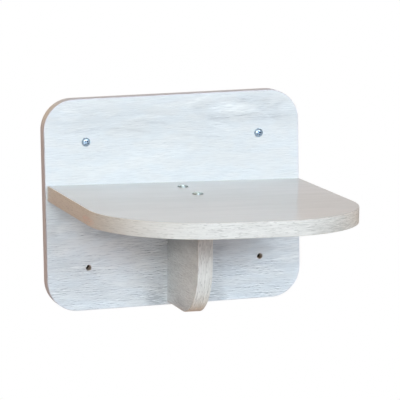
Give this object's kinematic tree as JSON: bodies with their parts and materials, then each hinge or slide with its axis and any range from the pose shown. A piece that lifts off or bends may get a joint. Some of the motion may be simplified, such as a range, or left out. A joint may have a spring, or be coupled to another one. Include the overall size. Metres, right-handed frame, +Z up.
{
  "type": "wall-mounted cat shelf",
  "caption": "Bare wall shelf for a cat: rounded board on an upright back panel with a bracket below, all in pale oak laminate.",
  "frame": {"origin": "middle of the back panel's rear face, which lies against the wall", "axes": "+Z up, +X to the right seen from the front, +Y into the wall, so the shelf reaches forward along -Y"},
  "size_m": [0.2803, 0.3297, 0.225],
  "materials": {
    "laminate": "satin whitewashed oak laminate with a fine horizontal grain",
    "edge_tape": "matching oak edge tape with a fine lengthwise grain",
    "zinc": "bright zinc plating"
  },
  "bodies": {
    "root": {"back_panel": "laminate", "back_panel_edge_band": "edge_tape", "shelf_board": "laminate", "shelf_edge_band": "edge_tape", "support_bracket": "laminate", "support_bracket_edge_band": "edge_tape", "wall_screw_left": "zinc", "wall_screw_right": "zinc", "shelf_screw_rear": "zinc", "shelf_screw_front": "zinc", "shelf_confirmat_left": "zinc", "shelf_confirmat_right": "zinc", "bracket_confirmat_upper": "zinc", "bracket_confirmat_lower": "zinc"}
  },
  "joints": []
}
